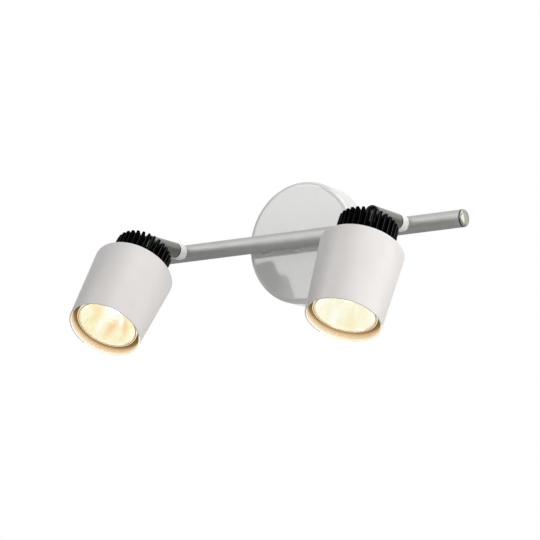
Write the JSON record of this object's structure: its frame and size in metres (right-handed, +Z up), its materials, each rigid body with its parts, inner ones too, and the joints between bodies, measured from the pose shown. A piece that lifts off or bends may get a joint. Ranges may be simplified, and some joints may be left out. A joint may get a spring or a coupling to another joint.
{
  "type": "pivoting spotlight wall light",
  "caption": "Wall light with a round canopy, a straight bar and cylindrical spotlights with finned rear caps, each on a short arm that swivels on the bar and tilts at a hinge.",
  "frame": {"origin": "on the wall, at the centre of the canopy's back and of the two wall screws", "axes": "+X along the bar to the right as seen from the room, -Y out of the wall into the room, +Z up"},
  "size_m": [0.314, 0.1678, 0.152],
  "materials": {
    "zinc_steel": "satin",
    "grommet_rubber": "matte",
    "canopy_white": "gloss",
    "grey_metal": "satin",
    "block_plastic": "matte",
    "plain_brass": "satin",
    "pale_plastic": "gloss",
    "spring_steel": "satin",
    "collar_white": "satin",
    "lead_sheath": "satin",
    "head_lead_sheath": "satin",
    "spacer_nylon": "satin",
    "black_aluminium": "satin",
    "black_steel": "satin",
    "shade_white": "satin",
    "holder_ceramic": "matte",
    "lamp_ceramic": "matte",
    "reflector_glass": "gloss",
    "clear_glass": "gloss",
    "capsule_glass": "gloss"
  },
  "bodies": {
    "wall_unit": {"wall_bracket": "zinc_steel", "inlet_grommet": "grommet_rubber", "canopy_studs": "zinc_steel", "canopy": "canopy_white", "cap_nuts": "grey_metal", "terminal_block": "block_plastic", "terminal_tubes": "plain_brass", "terminal_screws": "zinc_steel", "block_screw": "zinc_steel", "earth_screw": "plain_brass", "bar_nipple": "zinc_steel", "nipple_nut": "zinc_steel", "bar_seat": "grey_metal", "bar_tube": "grey_metal", "centre_nut": "zinc_steel", "wave_washers": "spring_steel", "end_cap_left": "pale_plastic", "barrel_nut_left": "zinc_steel", "swivel_bolt_left": "zinc_steel", "collar_left": "collar_white", "supply_lead_left": "lead_sheath", "end_cap_right": "pale_plastic", "barrel_nut_right": "zinc_steel", "swivel_bolt_right": "zinc_steel", "collar_right": "collar_white", "supply_lead_right": "lead_sheath"},
    "arm_left": {"arm_tube_left": "grey_metal", "arm_plug_left": "zinc_steel", "tilt_pin_left": "zinc_steel", "tilt_spacers_left": "spacer_nylon", "arm_lead_left": "lead_sheath"},
    "head_left": {"fin_cap_left": "black_aluminium", "tilt_fork_left": "black_steel", "shade_left": "shade_white", "cap_screws_left": "zinc_steel", "lampholder_left": "holder_ceramic", "holder_contacts_left": "plain_brass", "lamp_pins_left": "plain_brass", "lamp_base_left": "lamp_ceramic", "lamp_reflector_left": "reflector_glass", "lamp_glass_left": "clear_glass", "lamp_capsule_left": "capsule_glass", "head_lead_left": "head_lead_sheath"},
    "arm_right": {"arm_tube_right": "grey_metal", "arm_plug_right": "zinc_steel", "tilt_pin_right": "zinc_steel", "tilt_spacers_right": "spacer_nylon", "arm_lead_right": "lead_sheath"},
    "head_right": {"fin_cap_right": "black_aluminium", "tilt_fork_right": "black_steel", "shade_right": "shade_white", "cap_screws_right": "zinc_steel", "lampholder_right": "holder_ceramic", "holder_contacts_right": "plain_brass", "lamp_pins_right": "plain_brass", "lamp_base_right": "lamp_ceramic", "lamp_reflector_right": "reflector_glass", "lamp_glass_right": "clear_glass", "lamp_capsule_right": "capsule_glass", "head_lead_right": "head_lead_sheath"}
  },
  "joints": [
    {"name": "left_swivel", "type": "hinge", "parent": "wall_unit", "child": "arm_left", "pos_m": [-0.105, -0.032, 0], "axis": [0, -1, 0], "range_deg": [-175, 175]},
    {"name": "left_tilt", "type": "hinge", "parent": "arm_left", "child": "head_left", "pos_m": [-0.105, -0.0815, 0], "axis": [1, 0, 0], "range_deg": [-54, 36], "deforming": ["head_lead_left"]},
    {"name": "right_swivel", "type": "hinge", "parent": "wall_unit", "child": "arm_right", "pos_m": [0.105, -0.032, 0], "axis": [0, -1, 0], "range_deg": [-175, 175]},
    {"name": "right_tilt", "type": "hinge", "parent": "arm_right", "child": "head_right", "pos_m": [0.105, -0.0815, 0], "axis": [1, 0, 0], "range_deg": [-64.3, 25.7], "deforming": ["head_lead_right"]}
  ]
}
